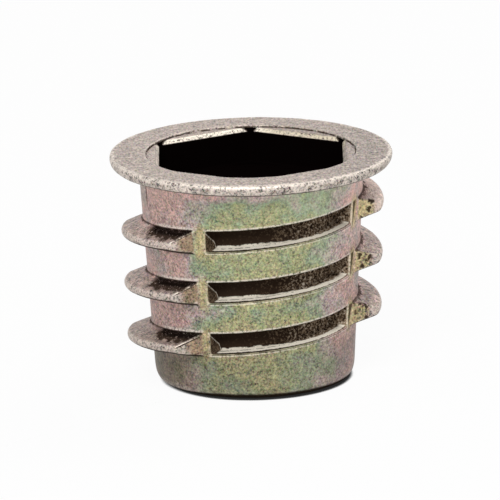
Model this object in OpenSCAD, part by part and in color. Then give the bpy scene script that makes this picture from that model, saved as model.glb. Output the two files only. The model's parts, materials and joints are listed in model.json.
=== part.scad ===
// Flanged screw-in insert with a hexagon socket, cast in one piece.
// The upright axis is Z, the insert stands on Z = 0 and its flange is at the top.
// A coarse wood thread winds up the tapered body. It stands out as fins only on the two
// sides where the mould halves part, and between the fins it goes on as sunk slots.

/* [Overall] */
// Length over all, from the lower end to the top of the flange
length = 13; // [12:0.1:20]

/* [Flange] */
// Diameter of the flange
flange_d = 15.9; // [15.4:0.1:20]
// Thickness of the flange
flange_t = 0.7; // [0.7:0.05:1]
// Radius that rounds the upper edge of the flange's rim
rim_r = 0.2; // [0.1:0.01:0.24]
// Radius that rounds the lower edge of the flange's rim
rim_low_r = 0.45; // [0.1:0.01:0.48]
// Radius of the fillet between the body and the flange
neck_r = 0.35; // [0.2:0.05:0.6]

/* [Body] */
// Diameter of the body where it meets the flange
body_top_d = 12.64; // [12.4:0.02:13]
// Diameter that the body's taper reaches at the lower end
body_low_d = 11.12; // [10.8:0.02:11.8]
// Radius that rounds the body's lower edge
foot_r = 0.65; // [0.2:0.05:0.7]

/* [Wood thread] */
// Rise of the thread in one turn
thread_pitch = 3; // [2.8:0.05:3.3]
// Diameter over the fins' crests where the body meets the flange
crest_top_d = 15; // [14.4:0.02:15.4]
// Diameter that the crests' taper reaches at the lower end
crest_low_d = 14.1; // [13.2:0.02:14.4]
// Width of a fin where it leaves the body
fin_root_w = 1.3; // [1.1:0.01:1.4]
// Width of a fin across its crest
fin_crest_w = 0.44; // [0.4:0.01:0.7]
// Radius that rounds the two edges of the crest
fin_crest_r = 0.22; // [0.05:0.01:0.24]
// Distance that the crest lies below the middle of the fin's root
fin_lean = 0.07; // [0:0.01:0.2]
// Number of fins, counted up both sides
fin_count = 6; // [2:1:6]
// Distance from the underside of the flange down to the middle of the top fin
fin_drop = 1.97; // [1.7:0.01:2.2]
// Distance between the two flat ends of a fin, along the mould's line of draw
fin_span = 7.64; // [6:0.02:8]

/* [Slots] */
// Width of a slot at the body's surface
slot_w = 1.2; // [0.8:0.02:1.4]
// Depth of a slot, measured from the body's surface
slot_depth = 1.1; // [0.6:0.05:1.2]
// Angle of a slot round the body, from one end to the other
slot_angle = 90.5; // [60:0.5:92]
// Draft on the upper and lower walls of a slot, in degrees
slot_draft = 4; // [1:0.5:8]

/* [Socket] */
// Width of the hexagon socket across its flats
hex_af = 10.3; // [9.6:0.05:10.4]
// Diameter that cuts off the socket's corners, and of the shallow step round its mouth
hex_corner_d = 11.8; // [11.4:0.02:11.9]
// Depth of the shallow step round the mouth
step_depth = 0.12; // [0.05:0.01:0.2]
// Depth of the hexagon from the top of the flange
hex_depth = 2.1; // [1.6:0.05:2.2]
// Width of the bevel along the hexagon's upper edges
hex_bevel_w = 0.17; // [0.05:0.01:0.25]
// Height of the bevel along the hexagon's upper edges
hex_bevel_h = 0.23; // [0.1:0.01:0.4]

/* [Bore] */
// Diameter of the bore, which is the core diameter of the machine thread cut in it
bore_d = 6.8; // [6:0.05:7.4]
// Diameter of the countersinks at both ends of the bore
bore_sink_d = 8.4; // [8:0.05:9]

/* [Mould] */
// Angle of the mould's line of draw, turned from the socket's front corner
draw_angle = 19.5; // [-45:0.5:45]

/* [Hidden] */
$fn = 96;
eps = 0.01;

flange_z = length - flange_t;
hex_z = length - hex_depth;
hex_across_corners = hex_af / cos(30);
socket_floor_slope = 30;
shoulder_h = (hex_af - bore_sink_d) / 2 * tan(socket_floor_slope);
sink_h = (bore_sink_d - bore_d) / 2;

arc_steps = 6;
crest_steps = 3;
turn_step = 6;

// The thread starts at the middle of the lowest fin, on the left, and runs up anticlockwise
// as seen from above. Fins lie at whole half turns from there, and slots half way between.
thread_start = 180;
thread_run = 180 * (fin_count - 1);
first_fin_z = flange_z - fin_drop - thread_pitch * thread_run / 360;
fin_margin = 60;
fin_sink = 0.35;
slot_overshoot = 0.4;

// Radius at height z of a cone that has one diameter at the lower end and one at the flange
function taper_r(low_d, top_d, z) = (low_d + (top_d - low_d) * z / flange_z) / 2;

// Radius of the tapered body at height z
function body_r(z) = taper_r(body_low_d, body_top_d, z);

// Height of the fins above the body at height z
function fin_h(z) = taper_r(crest_low_d, crest_top_d, z) - body_r(z);

// Height of the thread's middle after it has run up through an angle
function thread_z(run) = first_fin_z + thread_pitch * run / 360;

// Points on an arc about a centre, from one angle to another
function arc(centre, r, from, to, steps = arc_steps) =
    [for (i = [0:steps]) centre + r * [cos(from + (to - from) * i / steps),
                                       sin(from + (to - from) * i / steps)]];

// One cross-section of the thread, placed at its angle and height.
// Each point of the section holds how far it stands out from the body and its height.
function thread_ring(section, run) =
    let (z = thread_z(run), angle = thread_start + run)
    [for (p = section(z)) [(body_r(z) + p[0]) * cos(angle), (body_r(z) + p[0]) * sin(angle), z + p[1]]];

// A bar that winds round the body from one angle to another.
// Its section is a function of the height.
module thread_sweep(section, from, to) {
    steps = ceil((to - from) / turn_step);
    n = len(section(0));
    rings = [for (i = [0:steps]) thread_ring(section, from + (to - from) * i / steps)];
    points = [for (ring = rings) each ring];
    sides = [for (i = [0:steps - 1], j = [0:n - 1])
                [i * n + j, i * n + (j + 1) % n, (i + 1) * n + (j + 1) % n, (i + 1) * n + j]];
    start_cap = [for (j = [n - 1:-1:0]) j];
    end_cap = [for (j = [0:n - 1]) steps * n + j];
    polyhedron(points, concat([start_cap], sides, [end_cap]), convexity = 8);
}

// Section of a fin: sloping flanks and a narrow crest with rounded edges, all leaning down
fin_section = function (z)
    let (
        h = fin_h(z),
        slope = atan((fin_root_w - fin_crest_w) / 2 / h),
        root_half = fin_root_w / 2 + fin_sink * tan(slope),
        corner_x = h - fin_crest_r,
        corner_z = fin_crest_w / 2 - fin_crest_r * tan((90 - slope) / 2),
        upright = concat(
            [[-fin_sink, root_half], [-fin_sink, -root_half]],
            arc([corner_x, -corner_z], fin_crest_r, slope - 90, 0, crest_steps),
            arc([corner_x, corner_z], fin_crest_r, 0, 90 - slope, crest_steps))
    )
    [for (p = upright) [p[0], p[1] - fin_lean * p[0] / h]];

// Section of a slot: a straight floor, and walls that open outwards by the draft
slot_section = function (z)
    let (
        floor_half = slot_w / 2 - slot_depth * tan(slot_draft),
        mouth_half = slot_w / 2 + slot_overshoot * tan(slot_draft)
    )
    [[-slot_depth, floor_half], [-slot_depth, -floor_half],
     [slot_overshoot, -mouth_half], [slot_overshoot, mouth_half]];

// Body and flange as one revolved outline
module shell() {
    flange_r = flange_d / 2;
    neck_x = body_r(flange_z - neck_r) + neck_r;
    foot_x = body_r(foot_r) - foot_r;
    rotate_extrude()
        polygon(concat(
            [[0, 0]],
            arc([foot_x, foot_r], foot_r, -90, 0),
            arc([neck_x, flange_z - neck_r], neck_r, 180, 90),
            arc([flange_r - rim_low_r, flange_z + rim_low_r], rim_low_r, -90, 0),
            arc([flange_r - rim_r, length - rim_r], rim_r, 0, 90),
            [[0, length]]));
}

// Coarse thread, kept only between the flat ends of the fins.
// The line of draw is along Y here, so the fins come out on both sides along X.
module fins() {
    intersection() {
        thread_sweep(fin_section, -fin_margin, thread_run + fin_margin);
        translate([-flange_d, -fin_span / 2, 0]) cube([2 * flange_d, fin_span, flange_z + flange_t / 2]);
    }
}

// Slots between the fins, each with its ends along the body's radii
module slots() {
    for (k = [0:fin_count - 2])
        thread_sweep(slot_section, 90 + 180 * k - slot_angle / 2, 90 + 180 * k + slot_angle / 2);
}

// Hexagon socket with its bevelled mouth, and the sloping floor down to the bore
module socket() {
    translate([0, 0, length - step_depth]) cylinder(d = hex_corner_d, h = step_depth + 1);
    intersection() {
        union() {
            rotate([0, 0, 30])
                translate([0, 0, hex_z]) cylinder(d = hex_across_corners, h = hex_depth, $fn = 6);
            rotate([0, 0, 30])
                translate([0, 0, length - step_depth - hex_bevel_h])
                    cylinder(d1 = hex_across_corners,
                             d2 = (hex_af + 2 * hex_bevel_w) / cos(30), h = hex_bevel_h, $fn = 6);
        }
        cylinder(d = hex_corner_d, h = length + 1);
    }
    translate([0, 0, hex_z - shoulder_h])
        cylinder(d1 = bore_sink_d, d2 = hex_af, h = shoulder_h + eps);
}

// Through bore with a countersink at each end
module bore() {
    translate([0, 0, -1]) cylinder(d = bore_d, h = length + 1);
    translate([0, 0, -eps]) cylinder(d1 = bore_sink_d + 2 * eps, d2 = bore_d, h = sink_h + eps);
    translate([0, 0, hex_z - shoulder_h - sink_h])
        cylinder(d1 = bore_d, d2 = bore_sink_d, h = sink_h + eps);
}

module insert() {
    color([0.66, 0.62, 0.52])
        difference() {
            union() {
                shell();
                rotate([0, 0, draw_angle]) fins();
            }
            rotate([0, 0, draw_angle]) slots();
            socket();
            bore();
        }
}

insert();
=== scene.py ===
"""Flanged screw-in insert, dressed for looking at: the casting, its threads, its light and its camera."""
import json
import math
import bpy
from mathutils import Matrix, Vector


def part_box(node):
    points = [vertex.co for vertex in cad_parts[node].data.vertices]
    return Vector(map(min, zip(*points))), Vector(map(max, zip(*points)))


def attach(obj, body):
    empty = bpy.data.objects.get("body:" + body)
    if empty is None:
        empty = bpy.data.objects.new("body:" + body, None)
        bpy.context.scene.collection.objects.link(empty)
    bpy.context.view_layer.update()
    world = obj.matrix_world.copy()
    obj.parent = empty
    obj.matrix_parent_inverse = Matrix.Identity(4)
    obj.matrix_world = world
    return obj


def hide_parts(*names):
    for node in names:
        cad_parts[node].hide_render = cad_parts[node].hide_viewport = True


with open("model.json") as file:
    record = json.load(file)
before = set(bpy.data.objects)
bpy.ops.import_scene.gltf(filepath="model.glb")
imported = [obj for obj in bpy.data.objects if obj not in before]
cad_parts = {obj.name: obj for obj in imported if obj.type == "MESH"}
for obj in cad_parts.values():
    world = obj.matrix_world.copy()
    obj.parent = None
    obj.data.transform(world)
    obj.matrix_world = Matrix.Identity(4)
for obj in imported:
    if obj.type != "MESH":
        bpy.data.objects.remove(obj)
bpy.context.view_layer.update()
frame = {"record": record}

from types import SimpleNamespace

import bpy
from bpy.props import FloatProperty, FloatVectorProperty, IntProperty, PointerProperty
from mathutils import Matrix, Vector

bl_info = {
    "name": "Threaded Insert",
    "version": (1, 0, 0),
    "blender": (4, 5, 0),
    "location": "3D View > Sidebar > Insert",
    "description": "Makes a screw-in insert as one casting, and a small studio to show it in",
    "category": "Add Mesh",
}

MM = 0.001
NODE_LOW, NODE_HIGH = (Vector(corner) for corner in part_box("insert"))
MOUNTS = {mount["name"]: mount for mount in frame["record"]["mounts"]}
CORE_RADIUS = MOUNTS["thread_bore"]["dims"]["r_mm"] * MM

# A smooth minimum or maximum of two square faces blends over this many fillet radii.
BLEND_PER_RADIUS = 1.76

# Turns by which the fins' thread runs on past the middle of the first and the last fin, and
# by which the slots' thread stops short of them.
FIN_MARGIN = 1 / 6
SLOT_MARGIN = 1 / 12

# Fillets at a fin's root and inside a slot, as multiples of the edge radius.
FIN_ROOT_EDGES = 1.6
SLOT_EDGES = 1.5

# A metric thread: the slope of its flanks, and half the width of its groove at the core in pitches.
SCREW_FLANK = math.radians(30)
SCREW_GROOVE = 3 / 8

# Empty border of the block that the casting is filled into, in millimetres.
BLOCK_MARGIN = 0.4

WAVE_SEED = 7.0

# Furthest that the camera may aim left of or below the insert's middle, in metres.
MOST_AIM = 0.1

# Places of the two lights and how wide they are, in metres.
KEY_PLACE = (-0.05, -0.33, 0.29)
BACK_PLACE = (0.16, 0.20, 0.28)
LIGHT_SIZE = 0.2


# ---------------------------------------------------------------- sums made of nodes

def plain(operation):
    """An operator that adds a Math node with the term first."""
    return lambda term, other: term.graph.math(operation, term, other)


def mirrored(operation):
    """The same operator with the term second."""
    return lambda term, other: term.graph.math(operation, other, term)


class Term:
    """A socket of a node tree that can stand in a sum."""

    def __init__(self, graph, socket):
        self.graph = graph
        self.socket = socket

    __add__, __radd__ = plain("ADD"), mirrored("ADD")
    __sub__, __rsub__ = plain("SUBTRACT"), mirrored("SUBTRACT")
    __mul__, __rmul__ = plain("MULTIPLY"), mirrored("MULTIPLY")
    __truediv__, __rtruediv__ = plain("DIVIDE"), mirrored("DIVIDE")

    def __neg__(self):
        return self.graph.math("MULTIPLY", self, -1.0)

    def __abs__(self):
        return self.graph.math("ABSOLUTE", self)

    def out(self, name):
        """Another output of the node that this term comes from."""
        return Term(self.graph, self.socket.node.outputs[name])


class Graph:
    """A node tree that is written as sums of terms."""

    def __init__(self, tree):
        self.tree = tree

    def node(self, kind, settings=None, inputs=None, output=0):
        """Adds a node, sets its settings, then its sockets, and returns one of its outputs."""
        node = self.tree.nodes.new(kind)
        for name, value in (settings or {}).items():
            setattr(node, name, value)
        for key, value in (inputs or {}).items():
            if isinstance(value, Term):
                self.tree.links.new(value.socket, node.inputs[key])
            else:
                node.inputs[key].default_value = value
        return Term(self, node.outputs[output]) if len(node.outputs) else None

    def math(self, operation, *terms):
        """A Math node on up to three numbers."""
        return self.node("ShaderNodeMath", {"operation": operation}, dict(enumerate(terms)))

    def vector(self, operation, *terms):
        """A Vector Math node on vectors."""
        return self.node("ShaderNodeVectorMath", {"operation": operation}, dict(enumerate(terms)))

    def scaled(self, vector, factor):
        """A vector times a number."""
        return self.node("ShaderNodeVectorMath", {"operation": "SCALE"}, {0: vector, "Scale": factor})

    def join(self, *numbers):
        """A vector made of three numbers."""
        return self.node("ShaderNodeCombineXYZ", inputs=dict(enumerate(numbers)))

    def split(self, vector):
        """The three numbers of a vector."""
        first = self.node("ShaderNodeSeparateXYZ", inputs={0: vector}, output="X")
        return first, first.out("Y"), first.out("Z")

    def least(self, first, *others):
        """The smallest of some numbers."""
        for other in others:
            first = self.math("MINIMUM", first, other)
        return first

    def most(self, first, *others):
        """The largest of some numbers."""
        for other in others:
            first = self.math("MAXIMUM", first, other)
        return first

    def ramp(self, value, start, end):
        """A smooth step from 0 at start to 1 at end."""
        return self.node("ShaderNodeMapRange", {"interpolation_type": "SMOOTHSTEP"},
                         {"Value": value, "From Min": start, "From Max": end})

    def fall(self, value, start, end):
        """A smooth step from 1 at start to 0 at end."""
        return 1.0 - self.ramp(value, start, end)

    def band(self, value, start, full, fade, end):
        """A band that comes up from start to full and dies away from fade to end."""
        return self.ramp(value, start, full) * self.fall(value, fade, end)

    def mix(self, share, first, second):
        """A blend of two colours."""
        return self.node("ShaderNodeMix", {"data_type": "RGBA"}, {0: share, 6: first, 7: second}, 2)

    def paint(self, share, under, over):
        """A plain colour laid over another by a share."""
        return self.mix(share, under, (*over, 1.0))

    def noise(self, point, size, seed, detail=2.0, roughness=0.5, distortion=0.0):
        """Soft noise about 0.5, with patches of about the given size."""
        return self.node("ShaderNodeTexNoise", {"noise_dimensions": "4D"},
                         {"Vector": point, "W": seed, "Scale": 1.0 / size, "Detail": detail,
                          "Roughness": roughness, "Distortion": distortion})

    def sway(self, noise, width):
        """Noise as a shift by up to half a width either way."""
        return (noise - 0.5) * width


def cleared(holder):
    """The emptied node tree of a material or a world."""
    holder.use_nodes = True
    holder.node_tree.nodes.clear()
    return Graph(holder.node_tree)


def placed(name, data):
    """A new object in the scene that shows some data."""
    thing = bpy.data.objects.new(name, data)
    bpy.context.scene.collection.objects.link(thing)
    return thing


# ---------------------------------------------------------------- sizes and colours

def length(name, description, default, lowest=0.0):
    """A length in the panel, given in metres."""
    return FloatProperty(name=name, description=description, default=default, min=lowest,
                         precision=5, unit="LENGTH", subtype="DISTANCE")


def angle(name, description, degrees):
    """An angle in the panel, given in degrees."""
    return FloatProperty(name=name, description=description, default=math.radians(degrees),
                         unit="ROTATION", subtype="ANGLE")


def power(name, description, default):
    """The power of a light in the panel, given in watts."""
    return FloatProperty(name=name, description=description, default=default, min=0.0, unit="POWER")


def colour(name, description, default):
    """A colour in the panel."""
    return FloatVectorProperty(name=name, description=description, default=default,
                               size=3, min=0.0, max=1.0, subtype="COLOR")


def share(name, description, default):
    """A plain number from 0 to 1 in the panel."""
    return FloatProperty(name=name, description=description, default=default,
                         min=0.0, max=1.0, subtype="FACTOR")


class InsertSizes(bpy.types.PropertyGroup):
    """Sizes of the casting"""
    overall_length: length("Length", "Length over all", NODE_HIGH.z - NODE_LOW.z)
    flange_d: length("Flange diameter", "Diameter of the flange", NODE_HIGH.x - NODE_LOW.x)
    flange_t: length("Flange thickness", "Thickness of the flange", 0.7 * MM)
    rim_r: length("Upper rim radius", "Rounding of the upper edge of the flange's rim", 0.2 * MM)
    rim_low_r: length("Lower rim radius", "Rounding of the lower edge of the flange's rim", 0.45 * MM)
    neck_r: length("Neck radius", "Fillet between the body and the flange", 0.35 * MM)
    body_top_d: length("Body top", "Diameter of the body where it meets the flange", 12.64 * MM)
    body_low_d: length("Body foot", "Diameter that the taper reaches at the lower end", 11.12 * MM)
    foot_r: length("Foot radius", "Rounding of the lower edge", 0.65 * MM)
    thread_pitch: length("Wood thread pitch", "Rise of the wood thread in one turn", 3.0 * MM)
    fin_count: IntProperty(name="Fins", description="Fins of the wood thread, counted up both sides",
                           default=6, min=2, max=6)
    crest_top_d: length("Crest top", "Diameter that the fins' crests reach at the flange", 15.0 * MM)
    crest_low_d: length("Crest foot", "Diameter that the crests' taper reaches at the lower end", 14.1 * MM)
    fin_root_w: length("Fin root width", "Width of a fin where it leaves the body", 1.3 * MM)
    fin_crest_w: length("Fin crest width", "Width of a fin across its crest", 0.44 * MM)
    fin_crest_r: length("Fin crest radius", "Rounding of both edges of a fin's crest", 0.22 * MM)
    fin_lean: length("Fin lean", "How far the crest lies below the middle of the fin's root", 0.07 * MM)
    fin_drop: length("Fin drop", "From the underside of the flange to the middle of the top fin", 1.97 * MM)
    fin_span: length("Fin span", "Distance between the flat ends of a fin", 7.64 * MM)
    slot_w: length("Slot width", "Width of a slot at the body's surface", 1.2 * MM)
    slot_depth: length("Slot depth", "Depth of a slot below the body's surface", 1.1 * MM)
    slot_angle: angle("Slot angle", "Angle of a slot round the body", 90.5)
    slot_draft: angle("Slot draft", "Draft on the upper and lower walls of a slot", 4.0)
    hex_af: length("Socket across flats", "Width of the hexagon socket across its flats", 10.3 * MM)
    hex_corner_d: length("Socket corner circle", "Diameter that cuts off the socket's corners", 11.8 * MM)
    step_depth: length("Mouth step", "Depth of the shallow step round the socket's mouth", 0.12 * MM)
    hex_depth: length("Socket depth", "Depth of the hexagon from the top of the flange", 2.1 * MM)
    hex_bevel_w: length("Socket bevel width", "Width of the bevel on the hexagon's edges", 0.17 * MM)
    hex_bevel_h: length("Socket bevel height", "Height of the bevel on the hexagon's edges", 0.23 * MM)
    floor_slope: angle("Socket floor slope", "Slope of the floor from the hexagon to the bore", 30.0)
    bore_d: length("Core diameter", "Diameter at the crests of the machine thread", 2 * CORE_RADIUS)
    bore_sink_d: length("Countersink diameter", "Diameter of the countersinks of the bore", 8.4 * MM)
    screw_d: length("Screw diameter", "Diameter at the roots of the machine thread", 8.0 * MM)
    screw_pitch: length("Screw pitch", "Pitch of the machine thread", 1.25 * MM)
    draw_angle: angle("Draw angle", "Angle of the mould's line of draw from the front", 19.5)
    edge_r: length("Edge radius", "Rounding of the edges that the mould leaves sharp", 0.09 * MM)


class SkinSettings(bpy.types.PropertyGroup):
    """How finely the casting is meshed, and how uneven its skin is"""
    voxel: length("Voxel", "Spacing of the grid that the casting is filled into", 0.085 * MM)
    most_triangles: IntProperty(name="Triangles", description="Most triangles in the finished mesh",
                                default=190000, min=20000, max=199000)
    wave: length("Unevenness", "Height of the slow waves that a worn mould leaves", 0.02 * MM)
    wave_size: length("Wave size", "Size of those waves", 1.1 * MM)


class FinishSettings(bpy.types.PropertyGroup):
    """Colours and gloss of the chromated zinc"""
    rose: colour("Rose", "Chromate film where it is thinnest", (0.52, 0.35, 0.31))
    mauve: colour("Mauve", "Film a little thicker", (0.425, 0.35, 0.325))
    moss: colour("Moss", "Film between mauve and teal", (0.362, 0.346, 0.265))
    teal: colour("Teal", "Film thicker again", (0.267, 0.314, 0.208))
    green: colour("Green", "Thick film", (0.315, 0.325, 0.175))
    olive: colour("Olive", "Thickest film", (0.415, 0.372, 0.206))
    straw: colour("Straw", "Film on the ribs between slots and fins", (0.445, 0.365, 0.20))
    # Also used for painted shade low on the body and painted light on the slots' early end walls and floors.
    tan: colour("Tan", "Film on the flat ends of the fins", (0.30, 0.215, 0.14))
    flange: colour("Flange", "Handled metal of the flange", (0.39, 0.324, 0.284))
    fin: colour("Fin", "Handled metal of the fins", (0.352, 0.276, 0.235))
    # Also used for painted highlights on edges, fin crests and fine lines round the slots.
    rubbed_and_highlight: colour("Rubbed metal", "Zinc where the film is rubbed off", (0.84, 0.757, 0.67))
    # Painted light: the lit lower walls of the slots and the lit bevel of the socket, with painted sparkle
    # and highlight lines in the slots.
    clean: colour("Clean metal", "Zinc on the slots' lower walls and the socket's bevel", (1.0, 0.92, 0.78))
    # Also painted shade: in the slots, low on the body, along the fins' roots, by their ends, under the rim
    # and the fins, and round the socket's step.
    residue_and_shade: colour("Residue", "Brown residue that stays in hollows", (0.034, 0.021, 0.014))
    # Painted deep shadow: inside the socket, in the darkest corners above the fins and on faces that look
    # down.
    deep_shade: colour("Socket", "Residue that stays in the socket and the bore", (0.002, 0.001, 0.001))
    metallic: share("Metallic", "How metallic the filmed skin is", 0.5)
    roughness: share("Roughness", "Mean roughness of the skin", 0.5)
    grain: length("Grain", "Height of the fine grain", 0.012 * MM)
    film_turn: angle("Film turn", "Direction in which the film is thickest, from the front", 4.5)


class StageSettings(bpy.types.PropertyGroup):
    """Camera, floor and lights"""
    elevation: angle("Camera elevation", "Height of the camera above the horizon", 14.75)
    roll: angle("Camera roll", "Turn of the picture", 1.15)
    distance: length("Camera distance", "From the camera to the insert", 0.8)
    view_width: length("View width", "Width that the picture covers at the insert", 28.1 * MM)
    aim_right: length("Aim right", "How far right of the insert's middle the camera aims", -0.155 * MM,
                      lowest=-MOST_AIM)
    aim_up: length("Aim up", "How far above the insert's middle the camera aims", 0.742 * MM,
                   lowest=-MOST_AIM)
    key_power: power("Key light", "Power of the light above the front", 1.5)
    back_power: power("Back light", "Power of the light above the back", 0.4)
    floor_colour: colour("Floor", "Colour of the floor", (0.8, 0.8, 0.8))
    sky: share("Sky", "Brightness of the surroundings that light the insert", 0.3)


# ---------------------------------------------------------------- the casting as a distance

def fillet(graph, first, second, radius):
    """Joins two solids and fills the corner between them."""
    return graph.math("SMOOTH_MIN", first, second, radius * BLEND_PER_RADIUS)


def rounded(graph, first, second, radius):
    """Keeps what lies in both solids and rounds the edge between them."""
    return graph.math("SMOOTH_MAX", first, second, radius * BLEND_PER_RADIUS)


def sloped(graph, along, across, slope):
    """Distance to a face that moves out by slope for each unit along it."""
    return (across - along * slope) / graph.math("SQRT", slope * slope + 1.0)


def thread_offset(graph, climb, turn, fin_count, margin):
    """Height above the nearest turn of the wood thread that really exists, in pitches.

    climb is the height above the first fin in pitches, and turn the share of a turn run so far.
    The thread starts margin turns below the first fin and ends as far above the last.
    """
    lowest = graph.math("CEIL", (1.0 - margin) - turn)
    highest = graph.math("FLOOR", (fin_count - 1.0) * 0.5 + (1.0 + margin) - turn)
    course = climb + 1.0 - turn
    nearest = graph.least(graph.most(graph.math("ROUND", course), lowest), highest)
    return course - nearest


def taper(s, part, height):
    """Radius of the tapered body or of the fins' crests at a height."""
    low, top = s[part + "_low_d"] * 0.5, s[part + "_top_d"] * 0.5
    return low + (top - low) * height / (s["overall_length"] - s["flange_t"])


def body_skin(graph, s, r, z):
    """Tapered body with its flange."""
    flange_z = s["overall_length"] - s["flange_t"]
    slope = (s["body_top_d"] - s["body_low_d"]) * 0.5 / flange_z
    side = (r - taper(s, "body", z)) / graph.math("SQRT", slope * slope + 1.0)
    body = rounded(graph, side, -z, s["foot_r"])
    middle = s["overall_length"] - s["flange_t"] * 0.5
    body = graph.most(body, z - middle)
    flange = rounded(graph, r - s["flange_d"] * 0.5, z - s["overall_length"], s["rim_r"])
    flange = rounded(graph, flange, flange_z - z, s["rim_low_r"])
    return body, flange


def fin_skin(graph, s, r, z, along_draw, climb, turn):
    """Fins of the wood thread, which end flat on both sides of the mould's parting."""
    above = thread_offset(graph, climb, turn, s["fin_count"], FIN_MARGIN) * s["thread_pitch"]
    root_r, crest_r = taper(s, "body", z - above), taper(s, "crest", z - above)
    rise, height = r - root_r, crest_r - root_r
    slope = (s["fin_root_w"] - s["fin_crest_w"]) * 0.5 / height
    course = above + s["fin_lean"] * rise / height
    flank = sloped(graph, rise, abs(course) - s["fin_root_w"] * 0.5, -slope)
    profile = rounded(graph, flank, rise - height, s["fin_crest_r"])
    return rounded(graph, profile, abs(along_draw) - s["fin_span"] * 0.5, s["edge_r"])


def slot_skin(graph, s, r, z, bearing, climb, turn):
    """Slots that carry the wood thread on between the fins."""
    above = thread_offset(graph, climb, turn, s["fin_count"], -SLOT_MARGIN) * s["thread_pitch"]
    rise = r - taper(s, "body", z - above)
    wall = sloped(graph, rise, abs(above) - s["slot_w"] * 0.5, graph.math("TANGENT", s["slot_draft"]))
    trough = rounded(graph, wall, -s["slot_depth"] - rise, s["edge_r"] * SLOT_EDGES)
    ends = (abs(abs(bearing) - math.pi / 2) - s["slot_angle"] * 0.5) * r
    return rounded(graph, trough, ends, s["edge_r"] * SLOT_EDGES)


def socket_skin(graph, s, x, y, z, r):
    """Hexagon socket, its bevel, the shallow step round its mouth and its sloping floor."""
    top = s["overall_length"]
    lean_x, lean_y = x * 0.5, y * math.cos(math.radians(30))
    flats = graph.most(abs(x), abs(lean_x + lean_y), abs(lean_y - lean_x)) - s["hex_af"] * 0.5
    hexagon = graph.most(flats, top - s["hex_depth"] - z)
    bevel_z = top - s["step_depth"] - s["hex_bevel_h"]
    bevel = sloped(graph, z - bevel_z, flats, s["hex_bevel_w"] / s["hex_bevel_h"])
    clip = r - s["hex_corner_d"] * 0.5
    mouth = graph.most(graph.least(hexagon, bevel), clip)
    step = graph.most(clip, top - s["step_depth"] - z)
    run = 1.0 / graph.math("TANGENT", s["floor_slope"])
    sink_z = top - s["hex_depth"] - (s["hex_af"] - s["bore_sink_d"]) * 0.5 / run
    past_sink = r - s["bore_sink_d"] * 0.5
    floor = graph.most(sloped(graph, z - sink_z, past_sink, run), sink_z - z, r - s["hex_af"] * 0.5)
    sink = graph.most(sloped(graph, z - sink_z, past_sink, 1.0), past_sink)
    return graph.least(mouth, step, floor, sink)


def bore_skin(graph, s, r, z, bearing):
    """Through bore with its machine thread and the countersink at the lower end."""
    pitch = s["screw_pitch"]
    above = graph.math("WRAP", z - bearing * pitch / (2 * math.pi), pitch * 0.5, pitch * -0.5)
    depth = r - s["bore_d"] * 0.5
    flank = sloped(graph, depth, abs(above) - pitch * SCREW_GROOVE, -math.tan(SCREW_FLANK))
    groove = rounded(graph, flank, r - s["screw_d"] * 0.5, s["edge_r"])
    sink = sloped(graph, z, r - s["bore_sink_d"] * 0.5, -1.0)
    return graph.least(sink, fillet(graph, depth, groove, s["edge_r"]))


def casting_distance(graph, point, s):
    """Distance to the casting's skin in millimetres, negative in the metal.

    With it come the depth below the skin before anything was cut into it, and the distance
    to the skin of the socket and the bore.
    """
    x, y, z = graph.split(point)
    r = graph.math("SQRT", x * x + y * y)
    cosine, sine = graph.math("COSINE", s["draw_angle"]), graph.math("SINE", s["draw_angle"])
    across_draw, along_draw = x * cosine + y * sine, y * cosine - x * sine
    bearing = graph.math("ARCTAN2", along_draw, across_draw)
    turn = bearing / (2 * math.pi) + 0.5

    flange_z = s["overall_length"] - s["flange_t"]
    first_fin_z = flange_z - s["fin_drop"] - s["thread_pitch"] * (s["fin_count"] - 1.0) * 0.5
    climb = (z - first_fin_z) / s["thread_pitch"]

    body, flange = body_skin(graph, s, r, z)
    fins = fin_skin(graph, s, r, z, along_draw, climb, turn)
    slots = slot_skin(graph, s, r, z, bearing, climb, turn)
    hollow = graph.least(socket_skin(graph, s, x, y, z, r), bore_skin(graph, s, r, z, bearing))
    solid = fillet(graph, fillet(graph, body, fins, s["edge_r"] * FIN_ROOT_EDGES), flange, s["neck_r"])
    cast = rounded(graph, solid, -slots, s["edge_r"])
    return rounded(graph, cast, -hollow, s["edge_r"]), -solid, hollow


# ---------------------------------------------------------------- node trees for the casting

def own_properties(group):
    """The properties that a group defines itself, under the names that the code uses."""
    return {name: prop for name, prop in group.bl_rna.properties.items() if name not in {"rna_type", "name"}}


def add_socket(tree, label, kind="Float", way="INPUT"):
    """Gives a tree one more input or output."""
    tree.interface.new_socket(label, in_out=way, socket_type="NodeSocket" + kind)


def size_sockets(tree, sizes):
    """Gives a tree one named input for each size."""
    for prop in own_properties(sizes).values():
        add_socket(tree, prop.name, "Int" if prop.type == "INT" else "Float")


def size_terms(entry, sizes):
    """Every size as a term, with lengths turned into millimetres."""
    terms = {}
    for name, prop in own_properties(sizes).items():
        term = entry.out(prop.name)
        terms[name] = term * (1.0 / MM) if prop.subtype == "DISTANCE" else term
    return terms


def distance_tree(sizes):
    """Node group that measures the distance from a point to the casting's skin."""
    tree = bpy.data.node_groups.new("Casting distance", "GeometryNodeTree")
    add_socket(tree, "Point", "Vector")
    size_sockets(tree, sizes)
    for label in ("Distance", "Depth", "Bore distance"):
        add_socket(tree, label, way="OUTPUT")
    graph = Graph(tree)
    entry = graph.node("NodeGroupInput")
    measures = casting_distance(graph, entry, size_terms(entry, sizes))
    graph.node("NodeGroupOutput", inputs=dict(enumerate(measures)))
    return tree


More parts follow.
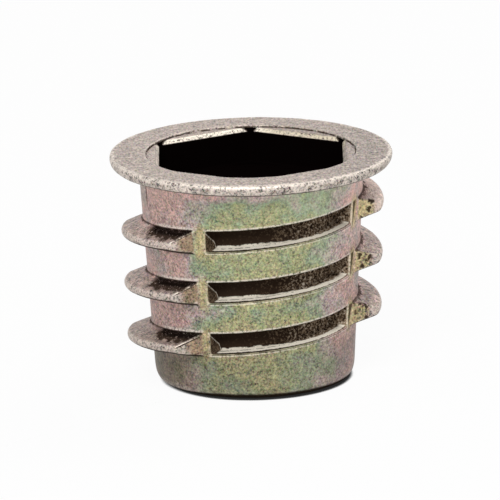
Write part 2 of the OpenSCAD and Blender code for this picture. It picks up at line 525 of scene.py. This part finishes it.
def start_tree(name, sizes, extra):
    """A tree that takes geometry, every size, some extra numbers and a material, and gives geometry."""
    tree = bpy.data.node_groups.new(name, "GeometryNodeTree")
    add_socket(tree, "Geometry", "Geometry")
    add_socket(tree, "Geometry", "Geometry", "OUTPUT")
    size_sockets(tree, sizes)
    for label in extra:
        add_socket(tree, label)
    add_socket(tree, "Material", "Material")
    graph = Graph(tree)
    return tree, graph, graph.node("NodeGroupInput")


def probe(graph, entry, sizes, distance, point):
    """Measures the distance at a point with the sizes that the tree was given."""
    inputs = {prop.name: entry.out(prop.name) for prop in own_properties(sizes).values()}
    return graph.node("GeometryNodeGroup", {"node_tree": distance}, {"Point": point, **inputs})


def end_tree(graph, mesh, entry):
    """Ends a tree with real geometry that has its material."""
    mesh = graph.node("GeometryNodeRealizeInstances", inputs={0: mesh})
    mesh = graph.node("GeometryNodeSetMaterial", inputs={0: mesh, "Material": entry.out("Material")})
    graph.node("NodeGroupOutput", inputs={0: mesh})


def casting_tree(sizes, distance):
    """Fills a block of voxels with the casting and takes its skin."""
    tree, graph, entry = start_tree("Cast insert", sizes, ["Voxel"])
    half = entry.out("Flange diameter") * (0.5 / MM) + BLOCK_MARGIN
    top = entry.out("Length") * (1.0 / MM) + BLOCK_MARGIN
    voxel = entry.out("Voxel") * (1.0 / MM)
    low = graph.join(-half, -half, -BLOCK_MARGIN)
    high = graph.join(half, half, top)
    across, upward = half * 2.0 / voxel, (top + BLOCK_MARGIN) / voxel
    fill = -probe(graph, entry, sizes, distance, graph.node("GeometryNodeInputPosition"))
    block = graph.node("GeometryNodeVolumeCube", inputs={
        "Density": fill, "Background": -1.0, "Min": low, "Max": high,
        "Resolution X": across, "Resolution Y": across, "Resolution Z": upward})
    skin = graph.node("GeometryNodeVolumeToMesh", {"resolution_mode": "GRID"},
                      {0: block, "Threshold": 0.0, "Adaptivity": 0.0})
    skin = graph.node("GeometryNodeTransform", inputs={0: skin, "Scale": (MM, MM, MM)})
    end_tree(graph, skin, entry)
    return tree


def settle_tree(sizes, distance):
    """Moves each vertex onto the true skin, adds the skin's slow waves and notes edges and depths."""
    tree, graph, entry = start_tree("Settle skin", sizes, ["Unevenness", "Wave size", "Seed"])

    def measure(point):
        return probe(graph, entry, sizes, distance, point)

    def here():
        return graph.scaled(graph.node("GeometryNodeInputPosition"), 1.0 / MM)

    mesh = entry
    reach = 0.02
    settling_steps = 2
    for _ in range(settling_steps):
        point = here()
        near = measure(point)
        rates = [(measure(graph.vector("ADD", point, shift)) - near) / reach
                 for shift in ((reach, 0.0, 0.0), (0.0, reach, 0.0), (0.0, 0.0, reach))]
        way = graph.vector("NORMALIZE", graph.join(*rates))
        step = graph.scaled(way, near * -MM)
        mesh = graph.node("GeometryNodeSetPosition", inputs={0: mesh, "Offset": step})

    normal = graph.node("GeometryNodeInputNormal")
    point = here()
    edge_depth = 0.14
    inner = graph.vector("ADD", point, graph.scaled(normal, -edge_depth))
    edge = (measure(inner) + edge_depth) / edge_depth
    skin = measure(point)
    for name, value in (("edge", edge), ("sunk", skin.out("Depth")), ("bored", skin.out("Bore distance")),
                        ("level", graph.split(normal)[2])):
        mesh = graph.node("GeometryNodeStoreNamedAttribute", {"data_type": "FLOAT", "domain": "POINT"},
                          {0: mesh, "Name": name, "Value": value})

    # The noise is about 0.5, so the waves sink a little more than they rise.
    waves = graph.noise(here(), entry.out("Wave size") / MM, entry.out("Seed"))
    swell = graph.scaled(normal, (waves - 0.55) * 2.0 * entry.out("Unevenness"))
    mesh = graph.node("GeometryNodeSetPosition", inputs={0: mesh, "Offset": swell})
    mesh = graph.node("GeometryNodeSetShadeSmooth", inputs={0: mesh, "Shade Smooth": True})
    end_tree(graph, mesh, entry)
    return tree


def add_tree(piece, tree, values):
    """Puts a tree on a piece and sets its inputs, which are named as in the tree."""
    modifier = piece.modifiers.new(tree.name, "NODES")
    modifier.node_group = tree
    for item in tree.interface.items_tree:
        if item.item_type == "SOCKET" and item.in_out == "INPUT" and item.name in values:
            modifier[item.identifier] = values[item.name]


def size_values(sizes):
    """The value of each size under the name that the trees use."""
    return {prop.name: getattr(sizes, name) for name, prop in own_properties(sizes).items()}


def bake(piece):
    """Makes what a piece's modifiers give its own mesh."""
    evaluated = piece.evaluated_get(bpy.context.evaluated_depsgraph_get())
    mesh = bpy.data.meshes.new_from_object(evaluated)
    piece.modifiers.clear()
    piece.data = mesh
    return mesh


# ---------------------------------------------------------------- the metal
#
# Distances over the skin are in millimetres, and angles in radians. Every mask runs from 0 to 1,
# and the two numbers of a ramp say where it starts and where it is full.

def skin_place(graph, sizes):
    """Where a point of the skin lies, and what the mesh noted there.

    rise is its height over the body's taper, above its height over the middle of the thread, and
    behind its place along the mould's line of draw. Names with past or below say how far it lies
    beyond an edge. lateness is positive where the thread runs towards the next fin, as told in
    add_zones. The mesh notes how sharp an outward edge is, how deep the point is sunk below the
    uncut skin, how far it is from the socket and the bore, and how far up it faces.
    """
    point = graph.scaled(graph.node("ShaderNodeTexCoord", output="Object"), 1.0 / MM)
    x, y, z = graph.split(point)
    r = graph.math("SQRT", x * x + y * y)
    cosine, sine = math.cos(sizes.draw_angle), math.sin(sizes.draw_angle)
    across, along = x * cosine + y * sine, y * cosine - x * sine
    bearing = graph.math("ARCTAN2", along, across)
    turn = bearing / (2 * math.pi) + 0.5
    flange_z, pitch = (sizes.overall_length - sizes.flange_t) / MM, sizes.thread_pitch / MM
    first_fin_z = flange_z - sizes.fin_drop / MM - pitch * (sizes.fin_count - 1) / 2
    above = thread_offset(graph, (z - first_fin_z) / pitch, turn, sizes.fin_count, 0.0) * pitch
    taper_rate = (sizes.body_top_d - sizes.body_low_d) / 2 / MM / flange_z
    rise = r - (z * taper_rate + sizes.body_low_d / 2 / MM)
    fin_h = (sizes.crest_low_d - sizes.body_low_d + sizes.crest_top_d - sizes.body_top_d) / 4 / MM
    flank_run = ((sizes.fin_root_w - sizes.fin_crest_w) / 2 + sizes.fin_lean) / MM / fin_h
    noted = {name: graph.node("ShaderNodeAttribute", {"attribute_name": name}, output="Fac")
             for name in ("edge", "sunk", "bored", "level")}
    return SimpleNamespace(
        point=point, x=x, y=y, z=z, r=r, rise=rise, flange_z=flange_z,
        behind=along, along=abs(along), past_fin=abs(along) - sizes.fin_span / 2 / MM,
        above=above, beside_thread=abs(above),
        below_flank=sizes.fin_root_w / 2 / MM - rise * flank_run - above,
        past_slot=abs(abs(bearing) - math.pi / 2) - sizes.slot_angle / 2,
        past_corners=r - sizes.hex_corner_d / 2 / MM,
        past_sink=r - sizes.bore_sink_d / 2 / MM,
        below_step=(sizes.overall_length - sizes.step_depth) / MM - z,
        lateness=-across * along / (r * r),
        **noted)


def add_noise(graph, at):
    """Adds noise of several sizes to a place, from clouds of film down to single grains."""
    flat = graph.ramp(at.level, 0.85, 0.97)
    drawn = graph.join(at.x, at.y * (1.0 - flat * 0.45), at.z)
    at.clouds = graph.noise(at.point, 2.6, 1.0, distortion=0.6)
    at.mottle = graph.noise(at.point, 0.95, 2.0, detail=3.0, roughness=0.55)
    at.patches = graph.noise(at.point, 0.38, 5.0, detail=3.0)
    at.specks = graph.noise(drawn, 0.13, 3.0, detail=4.0, roughness=0.7)
    at.pits = graph.noise(drawn, 0.10, 4.0, roughness=0.7)
    at.pit = graph.ramp(at.pits, 0.64, 0.74)
    at.glitter = graph.ramp(at.specks, 0.36, 0.54)
    at.gaps = graph.ramp(at.patches, 0.4, 0.5)


def add_zones(graph, at):
    """Adds masks of the casting's parts to a place.

    The thread's early halves run up from the middle of each fin to the middle of the next slot,
    and its late halves from there to the middle of the next fin.
    """
    ramp, fall, sway = graph.ramp, graph.fall, graph.sway
    at.on_flange = ramp(at.z, at.flange_z - 0.1, at.flange_z + 0.1)
    at.off_flange = 1.0 - at.on_flange
    at.near_flange = ramp(at.z, at.flange_z - 1.7, at.flange_z - 0.2)
    at.on_fin = ramp(at.rise + sway(at.patches, 0.3), 0.15, 0.5) * at.off_flange
    at.beside = fall(at.beside_thread + sway(at.patches, 0.6), 0.6, 1.2)
    at.late = ramp(at.lateness, -0.45, 0.5)
    at.late_half = ramp(at.lateness, 0.0, 0.15)
    at.early_half = ramp(-at.lateness, 0.02, 0.2)
    at.ragged = at.late_half * ramp(at.x, 0.0, 3.0)


def film_colour(graph, finish, thickness):
    """Colour of the chromate film, which turns with its thickness."""
    film = graph.node("ShaderNodeValToRGB", inputs={"Fac": thickness})
    stops = ((0.06, finish.rose), (0.26, finish.mauve), (0.41, finish.moss),
             (0.55, finish.teal), (0.74, finish.green), (1.0, finish.olive))
    elements = film.socket.node.color_ramp.elements
    while len(elements) < len(stops):
        elements.new(1.0)
    for element, (place, tint) in zip(elements, stops):
        element.position = place
        element.color = (*tint, 1.0)
    return film


def film_thickness(graph, finish, at):
    """Thickness of the film: most on the front and the back, and little by the flange."""
    ramp, fall, sway = graph.ramp, graph.fall, graph.sway
    facing = abs(at.x * math.sin(finish.film_turn) - at.y * math.cos(finish.film_turn)) / at.r
    middle = ramp(facing, 0.58, 0.98)
    neck = ramp(at.z, at.flange_z - 0.85, at.flange_z - 0.5) * fall(at.x, -0.5, 3.0)
    film = middle * (0.72 + at.beside * 0.16 - at.near_flange * 0.3 - neck * 0.35)
    film = film + fall(at.z, 1.6, 3.0) * (1.0 - middle) * 0.3
    film = film + ramp(at.x, 2.0, 5.0) * at.near_flange * 0.3
    return film + sway(at.clouds, 1.3) + sway(at.mottle, 0.85) + sway(at.specks, 0.28)


def filmed_colour(graph, finish, at):
    """Colour of the film, and of the handled metal of the flange and the fins, without grain."""
    ramp, fall, paint, sway = graph.ramp, graph.fall, graph.paint, graph.sway
    skin = film_colour(graph, finish, film_thickness(graph, finish, at))
    rib = ramp(at.past_slot, -0.03, 0.01) * fall(at.past_slot + sway(at.patches, 0.06), 0.06, 0.13)
    skin = paint(rib * at.beside * 0.9, skin, finish.straw)

    # Painted shade: the body turns browner and darker towards its lower end, most on the left.
    foot = fall(at.z + sway(at.mottle, 1.8), 2.3, 3.9)
    skin = paint(foot * (0.15 + ramp(-at.x, 2.8, 4.3) * 0.5), skin, finish.tan)
    low_shade = 0.24 + ramp(-at.x, 2.6, 4.8) * (0.27 - ramp(at.z, 0.8, 2.4) * 0.12)
    low_shade = low_shade - ramp(at.x, -0.5, 2.5) * 0.13 + ramp(at.x, 3.2, 5.0) * 0.21
    skin = paint(foot * low_shade, skin, finish.residue_and_shade)

    lee = ramp(at.behind, 0.05, 0.15) * ramp(-at.x, 4.0, 5.0)
    lee = lee * ramp(at.z, at.flange_z - 2.0, at.flange_z - 1.7)
    skin = paint(lee * 0.75, skin, finish.flange)
    skin = paint(at.on_fin * 0.75, skin, finish.fin)
    skin = paint(at.on_flange, skin, finish.flange)
    end = ramp(at.past_fin, -0.1, -0.04) * ramp(at.rise, 0.05, 0.12) * at.off_flange
    end = end * fall(at.rise + sway(at.patches, 0.5), 0.6, 1.0)
    end_colour = graph.mix(ramp(at.lateness, 0.0, 0.2), (*finish.tan, 1.0), (*finish.straw, 1.0))
    return graph.mix(end, skin, end_colour)


def grained(graph, at, skin):
    """A colour under the casting's grain, which is strongest on the rim, with painted light and shade:
    brightest high on the right and just under the flange, the top fin lighter, the other fins, a narrow band
    high on the right, the lower part and the flange's right side darker.
    """
    ramp, fall, sway = graph.ramp, graph.fall, graph.sway
    grain = sway(at.specks, 4.2 + at.on_fin * 1.2) + sway(at.patches, 1.3 + at.on_fin) + 1.0
    # Painted light and shade: lighter on the right and high up, the top fin lighter, the other fins darker,
    # a darker band high on the right, darker low down and lighter just under the flange.
    lit_top_fin = at.on_fin * ramp(at.z, at.flange_z - 2.8, at.flange_z - 2.2)
    painted_light = ramp(at.x, 0.0, 5.0) * (0.05 + ramp(at.z, 7.0, 11.0) * 0.22 - at.on_fin * 0.19 + lit_top_fin * 0.34)
    painted_dim_band = graph.band(at.x, 4.0, 4.6, 5.0, 5.5) * 0.3
    painted_light = painted_light + (ramp(at.x, -1.0, 2.0) * 0.16 - painted_dim_band) * ramp(at.z, 9.0, 10.5)
    painted_light = painted_light - fall(at.z, 6.0, 7.5) * 0.07
    grain = grain + (at.near_flange * 0.3 + painted_light) * at.off_flange
    rim = at.on_flange * fall(at.level, 0.6, 0.95)
    grain = grain + (sway(at.specks, 2.2) + sway(at.patches, 1.9)) * rim
    # Painted shade: the flange darker towards its right.
    grain = grain - ramp(at.x, 2.0, 7.0) * at.on_flange * 0.17
    grey = graph.join(grain, grain, grain)
    tint = graph.vector("SUBTRACT", at.pits.out("Color"), (0.5, 0.5, 0.5))
    return graph.node("ShaderNodeMix", {"data_type": "RGBA", "blend_type": "MULTIPLY"},
                      {0: 1.0, 6: skin, 7: graph.vector("ADD", tint, grey)}, 2)


def root_shade_line(graph, at):
    """Painted shade: a dark line in the corner above a fin's root, torn on the right."""
    ramp, fall, sway = graph.ramp, graph.fall, graph.sway
    reach = at.rise + sway(at.patches, 0.2 + at.ragged * 0.5) + sway(at.specks, at.ragged * 0.5)
    line = fall(reach - at.ragged * 0.09, 0.04, 0.16) * ramp(at.rise, -0.05, 0.0)
    return line * ramp(at.level, 0.2, 0.4) * at.off_flange


def slot_highlight_lines(graph, at):
    """Painted highlights: fine bright lines above and below a slot, up its late end and above a fin's early
    end.
    """
    ramp, fall, band = graph.ramp, graph.fall, graph.band
    drift = at.above + graph.sway(at.patches, 0.05)
    on_body = ramp(at.rise, -0.12, -0.06)
    upper = band(drift, 0.61, 0.65, 0.72, 0.78) * on_body
    lower = band(-drift, 0.64, 0.67, 0.70, 0.76) * on_body * 0.5
    upright = band(at.past_slot, -0.006, 0.0, 0.008, 0.014) * at.late_half * 0.5
    upright = upright * on_body * fall(at.beside_thread, 0.55, 0.65)
    ledge = band(drift, 0.69, 0.72, 0.82, 0.88) * fall(at.rise, 0.1, 0.2)
    ledge = ledge * band(at.along, 0.6, 1.8, 3.7, 3.9) * at.early_half
    lines = graph.most(graph.most(upper, lower) * fall(at.past_slot, 0.0, 0.02), upright, ledge)
    return lines * at.glitter


def slot_light_and_shade(graph, finish, at, skin):
    """Paints shade into the slots and light onto their lower walls.

    Returns the colour, where the painted shade lies and where the painted lit lower wall is.
    """
    ramp, fall, most, paint, sway = graph.ramp, graph.fall, graph.most, graph.paint, graph.sway
    slot = ramp(at.sunk, 0.06, 0.14) * ramp(at.bored, 0.1, 0.2)
    depth = at.sunk + sway(at.specks, 0.25)
    # Painted light: the outer part of a slot's lower wall is lit, out to where the upper wall's shadow would
    # reach.
    inward = ramp(depth + at.late * 0.16, 0.30, 0.36)
    outward = fall(depth + sway(at.patches, 0.5) + at.late * 0.52, 1.0, 1.1)
    lit_shelf = slot * ramp(at.level, 0.3, 0.7) * inward * outward
    lit_shelf = lit_shelf * most(at.late, ramp(-at.past_slot, 0.035, 0.06))
    floor = slot * (1.0 - lit_shelf)

    # Painted light and shadow on a slot's early end wall: lit below the diagonal edge of the upper wall's
    # shadow, with a painted highlight along that edge.
    lit_end_wall = slot * (1.0 - at.late) * fall(-at.past_slot, 0.045, 0.06) * (1.0 - lit_shelf)
    shadow_slant = 0.56 - at.sunk * 0.7 - ramp(-at.past_slot, 0.0, 0.045) * 0.43 - at.above
    shadow_edge_highlight = lit_end_wall * fall(abs(shadow_slant), 0.02, 0.06) * ramp(at.specks, 0.35, 0.5)
    lit_end_wall = lit_end_wall * ramp(shadow_slant, 0.0, 0.05)
    # A thin dark line along the lit lower wall.
    hair = fall(abs(depth - 0.66), 0.03, 0.08) * ramp(at.patches, 0.45, 0.5) * (1.0 - at.late)
    # Painted shade: the slot in the residue colour, apart from its lit lower wall.
    skin = paint(slot * (1.0 - lit_shelf * (1.0 - hair)), skin, finish.residue_and_shade)

    # Tan specks on the slot's floor, with painted light that makes them brighter and more towards the slot's
    # late end, and painted sparkle there.
    crumb = at.specks * 0.8 + at.patches * 0.2
    crumbs_and_light = floor * ramp(crumb + at.late * 0.095, 0.54, 0.62)
    crumbs_and_lit_end = most(crumbs_and_light * (0.1 + at.late * 0.9), lit_end_wall * ramp(at.specks, 0.4, 0.6) * 0.6)
    skin = paint(crumbs_and_lit_end, skin, finish.tan)
    painted_glints = crumbs_and_light * ramp(at.late, 0.4, 0.9) * ramp(crumb, 0.54, 0.61)
    # Painted light: grainy lit metal on the lower wall.
    grit = ramp(at.specks * 0.6 + at.patches * 0.4, 0.33, 0.43) * (1.0 - hair * 0.85)
    return paint(most(shadow_edge_highlight * 0.6, painted_glints * 0.6, lit_shelf * grit), skin, finish.clean), floor, lit_shelf


def socket_light_and_shade(graph, finish, at, skin):
    """Paints light onto the socket's bevel, most at the back.

    Returns the colour, the painted shadow line round the shallow step and where the inside is painted as
    deep shadow.
    """
    ramp, fall = graph.ramp, graph.fall
    in_mouth = fall(at.bored, 0.06, 0.14)
    below_step = ramp(at.below_step, 0.0, 0.04)
    bevel = in_mouth * ramp(at.level, 0.25, 0.45) * below_step * fall(at.below_step, 0.28, 0.33)
    # Painted light on the bevel, brightest at the back.
    bevel_light = graph.mix(ramp(at.x, 0.2, 1.5) * 0.55, (*finish.clean, 1.0), (*finish.straw, 1.0))
    skin = graph.mix(bevel * at.glitter * (0.2 + ramp(at.y, 0.0, 3.0) * 0.7), skin, bevel_light)
    # Painted shadow: a dark line round the shallow step.
    step_shadow = fall(abs(at.past_corners + 0.02), 0.02, 0.055) * at.on_flange * at.gaps
    # Painted deep shadow: the socket's walls and floor below the bevel.
    inside = in_mouth * below_step * (1.0 - bevel) * ramp(at.past_sink, -0.4, -0.1)
    return skin, step_shadow, inside


def fin_wedge_shade(graph, at, rubbed):
    """Painted shade in the corner above a fin's early end, and the core of it, which is painted as deep
    shadow.
    """
    ramp, fall = graph.ramp, graph.fall
    # Painted shade on the upper flank by the body, wider towards the fin's early end.
    reach = ramp(at.along, -0.2, 2.0) * 0.95
    wedge_shade = fall(at.rise + graph.sway(at.patches, 0.9) - reach, -0.12, 0.1)
    wedge_shade = wedge_shade * ramp(at.level, 0.3, 0.6) * ramp(at.rise, -0.1, 0.0) * at.early_half
    wedge_shade = wedge_shade * at.off_flange * (1.0 - rubbed) * (1.0 - ramp(at.specks, 0.56, 0.66) * 0.6)
    return wedge_shade, wedge_shade * fall(at.rise - reach, -0.55, -0.2)


def fin_stains_and_shade(graph, at):
    """Painted shade in patches by the fins' late ends, soot on the fins in their late halves, and a scored
    line across their early ends.
    """
    ramp, fall, band = graph.ramp, graph.fall, graph.band
    # Painted shade in patches by the fins' late ends.
    end_shade = ramp(at.patches, 0.52, 0.6) * ramp(at.along, 3.4, 3.7) * ramp(at.lateness, 0.1, 0.3)
    end_shade = end_shade * band(at.rise, 0.1, 0.25, 0.8, 1.0) * at.off_flange
    soot = ramp(at.specks * 0.55 + at.pits * 0.45, 0.5, 0.56) * ramp(at.level, 0.3, 0.6)
    soot = soot * band(at.rise, 0.0, 0.1, 0.7, 1.1) * ramp(at.along, 0.0, 2.5) * at.off_flange * at.ragged
    score = ramp(at.past_fin, -0.06, -0.02) * ramp(at.rise, 0.08, 0.14) * at.early_half
    score = score * band(at.below_flank, 0.02, 0.05, 0.1, 0.15) * fall(at.level, 0.3, 0.5)
    score = score * ramp(at.mottle * 0.4 + at.patches * 0.6, 0.38, 0.44)
    return graph.most(end_shade, soot * 0.65, score)


def body_seam_and_shade(graph, at):
    """The parting line under the flange, and painted shade on the body between a slot's late end and the
    next fin.
    """
    ramp, fall, band = graph.ramp, graph.fall, graph.band
    seam = fall(at.along, 0.03, 0.09) * band(at.rise, -0.2, -0.1, 0.05, 0.15)
    seam = seam * ramp(at.z, at.flange_z - 2.0, at.flange_z - 1.5) * at.gaps * at.off_flange
    # Painted shade on the body between a slot's late end and the next fin.
    gap_shade_w = (at.above + 0.6) * 0.04 + 0.02
    gap_shade = ramp(at.past_slot, 0.014, 0.022) * fall(at.past_slot - gap_shade_w, 0.0, 0.012) * at.late_half
    gap_shade = gap_shade * fall(at.beside_thread, 0.6, 0.7) * ramp(at.rise, -0.1, -0.05)
    return graph.most(seam, gap_shade * 0.85)


def underside_shade(graph, at):
    """Painted shade on faces that look down: under the rim, under the fins and round the foot."""
    low = graph.fall(at.z, 0.6, 0.9)
    tucked = 0.22 + at.on_flange * 0.2 - low * (0.1 - graph.ramp(-at.x, 1.5, 5.0) * 0.35)
    return graph.ramp(-at.level - tucked, 0.2, 0.45) * (0.8 + low * 0.2)


def chromated_zinc(finish, sizes):
    """As-cast zinc under a thin yellow chromate, rubbed on its edges, with painted highlights there and
    painted light on the slots' lower walls and the socket's bevel, and with painted shade in its hollows,
    its socket and under it.
    """
    material = bpy.data.materials.new("chromated_zinc")
    graph = cleared(material)
    ramp, most, paint, sway = graph.ramp, graph.most, graph.paint, graph.sway
    at = skin_place(graph, sizes)
    add_noise(graph, at)
    add_zones(graph, at)
    skin = grained(graph, at, filmed_colour(graph, finish, at))

    # Painted shade along the fins' roots.
    root = root_shade_line(graph, at)
    # Edges rubbed to the metal, which also stand as painted highlights, and a painted highlight along the
    # fins' crests.
    rubbed = ramp(at.edge + sway(at.patches, 0.5), 0.12, 0.35) * (1.0 - root)
    crest = ramp(at.rise, 0.8, 1.05) * at.off_flange * graph.fall(abs(at.level), 0.6, 0.85)
    proud = 0.35 + ramp(at.rise, 0.05, 0.2) * 0.65
    skin = paint(most(rubbed * proud, crest * 0.6) * at.glitter * 0.75, skin, finish.rubbed_and_highlight)
    # Painted highlight lines round the slots and above the fins' early ends.
    skin = paint(slot_highlight_lines(graph, at) * 0.75, skin, finish.rubbed_and_highlight)
    # Painted shade in the slots and painted light on their lower walls.
    skin, shaded_slot_floor, lit_shelf = slot_light_and_shade(graph, finish, at, skin)
    # Painted light on the socket's bevel, a painted shadow line round its step and painted deep shadow
    # inside it.
    skin, step_shadow, inside = socket_light_and_shade(graph, finish, at, skin)

    # Painted shade on the fins' upper flanks by the body near their early ends, with a core painted as deep
    # shadow.
    wedge_shade, core = fin_wedge_shade(graph, at, rubbed)
    # Painted shade on faces that look down.
    under = underside_shade(graph, at)
    # Marks and pits of the metal, with painted shade by the fins' late ends and beside the slots' late ends.
    stains_and_shade = most(fin_stains_and_shade(graph, at), body_seam_and_shade(graph, at), at.pit * 0.6)
    # Painted shade, with those marks, laid on in the residue colour.
    shade_and_stains = most(wedge_shade, step_shadow, root * 0.85, under, stains_and_shade)
    skin = paint(shade_and_stains * 0.95, skin, finish.residue_and_shade)
    # Painted deep shadow in the socket, the darkest corners above the fins and on faces that look down.
    skin = paint(most(inside, core * 0.85, under * 0.6), skin, finish.deep_shade)

    rough = sway(at.specks, 0.4) + finish.roughness
    height = sway(at.specks, finish.grain) + sway(at.patches, finish.grain * 1.5) - at.pit * finish.grain
    normal = graph.node("ShaderNodeBump", inputs={"Strength": 1.0, "Distance": 1.0, "Height": height})
    metal = graph.node("ShaderNodeBsdfPrincipled", inputs={
        "Base Color": skin, "Metallic": (1.0 - lit_shelf) * finish.metallic, "Roughness": rough,
        "Normal": normal})
    # A matte surface where shade or marks are painted.
    residue = graph.node("ShaderNodeBsdfPrincipled", inputs={
        "Base Color": skin, "Roughness": 0.9, "Specular IOR Level": 0.0, "Normal": normal})
    matte_where_shaded = most(shade_and_stains, shaded_slot_floor, inside)
    shader = graph.node("ShaderNodeMixShader", inputs={0: matte_where_shaded, 1: metal, 2: residue})
    graph.node("ShaderNodeOutputMaterial", inputs={"Surface": shader})
    return material


# ---------------------------------------------------------------- operators

class THREADED_INSERT_OT_cast(bpy.types.Operator):
    """Casts the insert as one closed piece, with its wood thread and its machine thread"""
    bl_idname = "threaded_insert.cast"
    bl_label = "Cast insert"

    def execute(self, context):
        scene = context.scene
        sizes, skin = scene.insert_sizes, scene.insert_skin
        metal = chromated_zinc(scene.insert_finish, sizes)
        distance = distance_tree(sizes)
        piece = placed("insert_casting", bpy.data.meshes.new("insert_casting"))
        given = {**size_values(sizes), "Voxel": skin.voxel, "Material": metal,
                 "Unevenness": skin.wave, "Wave size": skin.wave_size, "Seed": WAVE_SEED}
        add_tree(piece, casting_tree(sizes, distance), given)
        triangles = sum(len(face.vertices) - 2 for face in bake(piece).polygons)
        if not triangles:
            raise RuntimeError("the casting came out empty")
        thin = piece.modifiers.new("Thin out", "DECIMATE")
        thin.ratio = min(1.0, skin.most_triangles / triangles)
        add_tree(piece, settle_tree(sizes, distance), given)
        bake(piece).name = "insert_casting"
        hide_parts("insert")
        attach(piece, "root")
        return {"FINISHED"}


class THREADED_INSERT_OT_stage(bpy.types.Operator):
    """Lays the floor and sets up the lights and the camera"""
    bl_idname = "threaded_insert.stage"
    bl_label = "Set the stage"

    def execute(self, context):
        settings = context.scene.insert_stage
        lay_floor(settings)
        set_world(settings)
        hang_light("key_light", settings.key_power, KEY_PLACE)
        hang_light("back_light", settings.back_power, BACK_PLACE)
        place_camera(context.scene, settings)
        context.scene.view_settings.view_transform = "Standard"
        return {"FINISHED"}


def camera_share(graph):
    """1 for rays that show the background as it is: seen straight, mirrored or through glass."""
    rays = graph.node("ShaderNodeLightPath", output="Is Camera Ray")
    return graph.most(rays, rays.out("Is Glossy Ray"), rays.out("Is Transmission Ray"))


def lay_floor(settings):
    """A plain pale floor that looks white, and keeps the insert's shadow and a painted contact shadow where
    it stands, fainter on the left.
    """
    half = 1.5
    contact_reach = 0.28 * MM
    corners = [(x * half, y * half, 0) for x, y in ((-1, -1), (1, -1), (1, 1), (-1, 1))]
    mesh = bpy.data.meshes.new("floor")
    mesh.from_pydata(corners, [], [(0, 1, 2, 3)])
    floor = placed("floor", mesh)
    material = bpy.data.materials.new("floor")
    graph = cleared(material)
    lit = graph.node("ShaderNodeBsdfDiffuse", inputs={"Color": (*settings.floor_colour, 1.0)})
    # Painted contact shadow: the white that the camera sees darkens where ambient occlusion finds the insert
    # close, less on the left.
    contact = graph.node("ShaderNodeAmbientOcclusion", {"samples": 16}, {"Distance": contact_reach}, "AO")
    x = graph.split(graph.node("ShaderNodeTexCoord", output="Object"))[0]
    open_floor = graph.ramp(contact + graph.fall(x, -5.5 * MM, -1.5 * MM) * 0.4, 0.4, 0.95)
    white = graph.mix(open_floor, (0.02, 0.02, 0.02, 1.0), (1.0, 1.0, 1.0, 1.0))
    lift = graph.node("ShaderNodeEmission", inputs={"Color": white, "Strength": 1.0})
    seen_straight = graph.node("ShaderNodeLightPath", output="Is Camera Ray")
    whiteness = graph.most(seen_straight * 0.95, camera_share(graph) * 0.6)
    seen = graph.node("ShaderNodeMixShader", inputs={0: whiteness, 1: lit, 2: lift})
    graph.node("ShaderNodeOutputMaterial", inputs={"Surface": seen})
    mesh.materials.append(material)


def set_world(settings):
    """White surroundings that light the insert more softly than they look."""
    world = bpy.data.worlds.new("studio")
    bpy.context.scene.world = world
    graph = cleared(world)
    seen = camera_share(graph)
    strength = seen + (1.0 - seen) * settings.sky
    light = graph.node("ShaderNodeBackground", inputs={"Color": (1.0, 1.0, 1.0, 1.0), "Strength": strength})
    graph.node("ShaderNodeOutputWorld", inputs={"Surface": light})


def hang_light(name, watts, place):
    """A soft square light that points at the insert."""
    data = bpy.data.lights.new(name, "AREA")
    data.shape, data.size, data.energy = "SQUARE", LIGHT_SIZE, watts
    lamp = placed(name, data)
    lamp.location = place
    lamp.rotation_euler = (-Vector(place)).to_track_quat("-Z", "Y").to_euler()
    lamp.visible_camera = False


def place_camera(scene, settings):
    """A long lens, a little above the insert."""
    data = bpy.data.cameras.new("camera")
    camera = placed("camera", data)
    back = Vector((0.0, -math.cos(settings.elevation), math.sin(settings.elevation)))
    turn = (-back).to_track_quat("-Z", "Y").to_matrix()
    right, up = turn.col[0], turn.col[1]
    middle = Vector((0.0, 0.0, NODE_HIGH.z / 2))
    aim = middle + right * settings.aim_right + up * settings.aim_up
    roll = Matrix.Rotation(-settings.roll, 3, "Z")
    camera.matrix_world = Matrix.Translation(aim + back * settings.distance) @ (turn @ roll).to_4x4()
    data.sensor_width = 36.0
    data.lens = data.sensor_width * settings.distance / settings.view_width
    data.clip_start, data.clip_end = 0.01, 20.0
    scene.camera = camera


class VIEW3D_PT_threaded_insert(bpy.types.Panel):
    """Sizes, finish and stage of the insert"""
    bl_idname = "VIEW3D_PT_threaded_insert"
    bl_label = "Threaded Insert"
    bl_space_type = "VIEW_3D"
    bl_region_type = "UI"
    bl_category = "Insert"

    def draw(self, context):
        scene = context.scene
        for title, group in (("Sizes", scene.insert_sizes), ("Skin", scene.insert_skin),
                             ("Finish", scene.insert_finish), ("Stage", scene.insert_stage)):
            box = self.layout.box()
            box.label(text=title)
            for name in own_properties(group):
                box.prop(group, name)
        self.layout.operator(THREADED_INSERT_OT_cast.bl_idname)
        self.layout.operator(THREADED_INSERT_OT_stage.bl_idname)


CLASSES = (InsertSizes, SkinSettings, FinishSettings, StageSettings,
           THREADED_INSERT_OT_cast, THREADED_INSERT_OT_stage, VIEW3D_PT_threaded_insert)
GROUPS = {"insert_sizes": InsertSizes, "insert_skin": SkinSettings,
          "insert_finish": FinishSettings, "insert_stage": StageSettings}


def register():
    for cls in CLASSES:
        bpy.utils.register_class(cls)
    for name, group in GROUPS.items():
        setattr(bpy.types.Scene, name, PointerProperty(type=group))


def unregister():
    for name in GROUPS:
        delattr(bpy.types.Scene, name)
    for cls in reversed(CLASSES):
        bpy.utils.unregister_class(cls)


def main():
    register()
    bpy.ops.threaded_insert.cast()
    bpy.ops.threaded_insert.stage()


if __name__ == "__main__":
    main()
